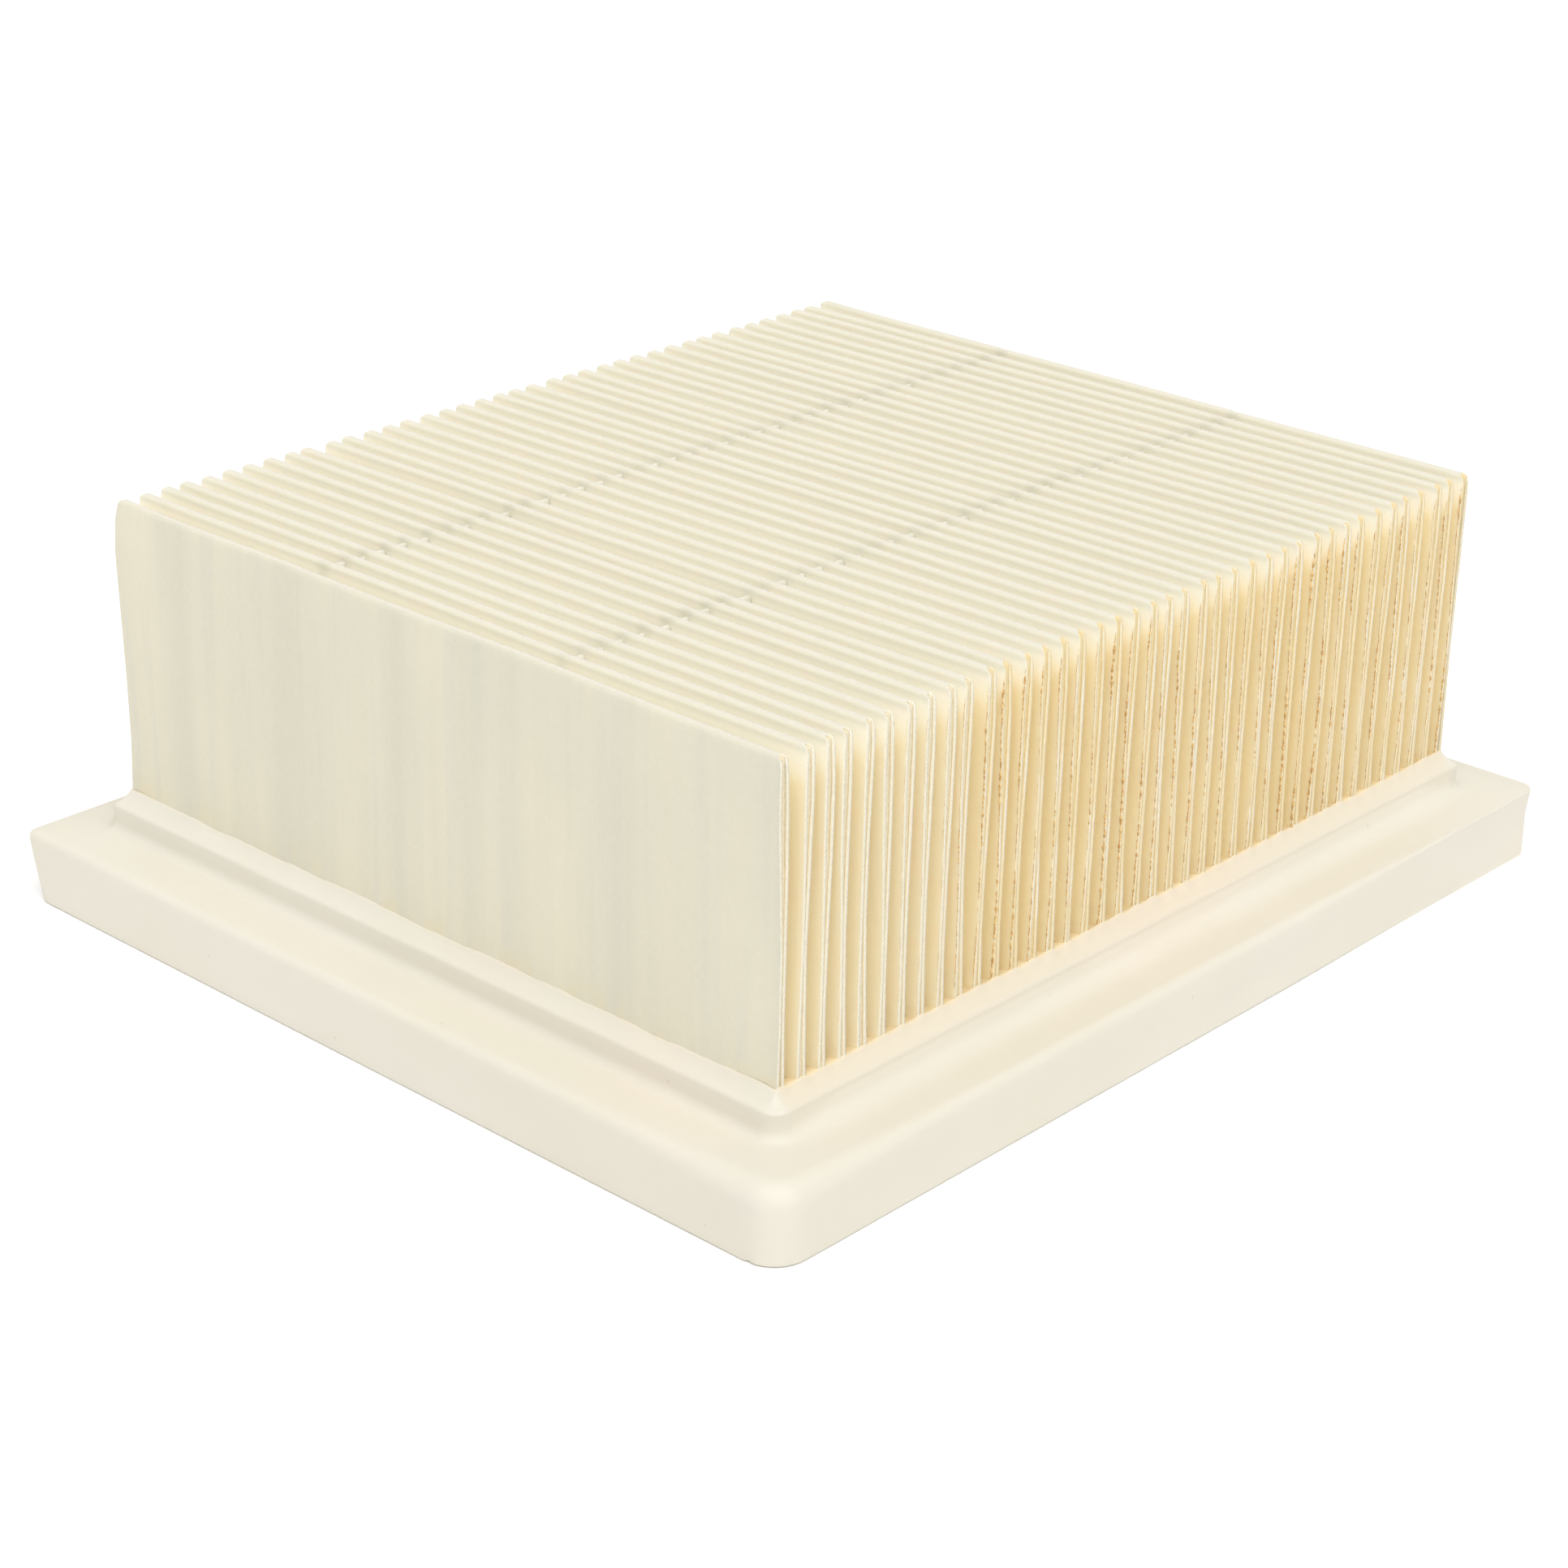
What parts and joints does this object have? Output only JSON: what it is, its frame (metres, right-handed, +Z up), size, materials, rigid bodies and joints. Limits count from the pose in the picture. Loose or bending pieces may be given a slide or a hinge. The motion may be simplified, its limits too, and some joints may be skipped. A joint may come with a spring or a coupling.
{
  "type": "pleated panel air filter",
  "caption": "Flat panel air filter: a block of deep paper pleats glued edge to edge and cast into a soft polyurethane frame with a flat sealing ledge and a stepped collar.",
  "frame": {"origin": "centre of the underside: the middle of the bounding box's bottom face", "axes": "+Z up through the pack to the crests of the folds, X along the folds, Y across them from the first pleat to the last"},
  "size_m": [0.1876, 0.2152, 0.0774],
  "materials": {
    "filter_paper": "soft fibrous cream filter paper",
    "seam_glue": "ochre edge adhesive, rough",
    "bead_glue": "greyish translucent hot melt",
    "cast_polyurethane": "ivory, satin, as moulded"
  },
  "bodies": {
    "root": {"pleated_medium": "filter_paper", "left_edge_seams": "seam_glue", "right_edge_seams": "seam_glue", "left_pocket_beads": "bead_glue", "right_pocket_beads": "bead_glue", "left_gap_beads": "bead_glue", "right_gap_beads": "bead_glue", "seal_frame": "cast_polyurethane"}
  },
  "joints": []
}
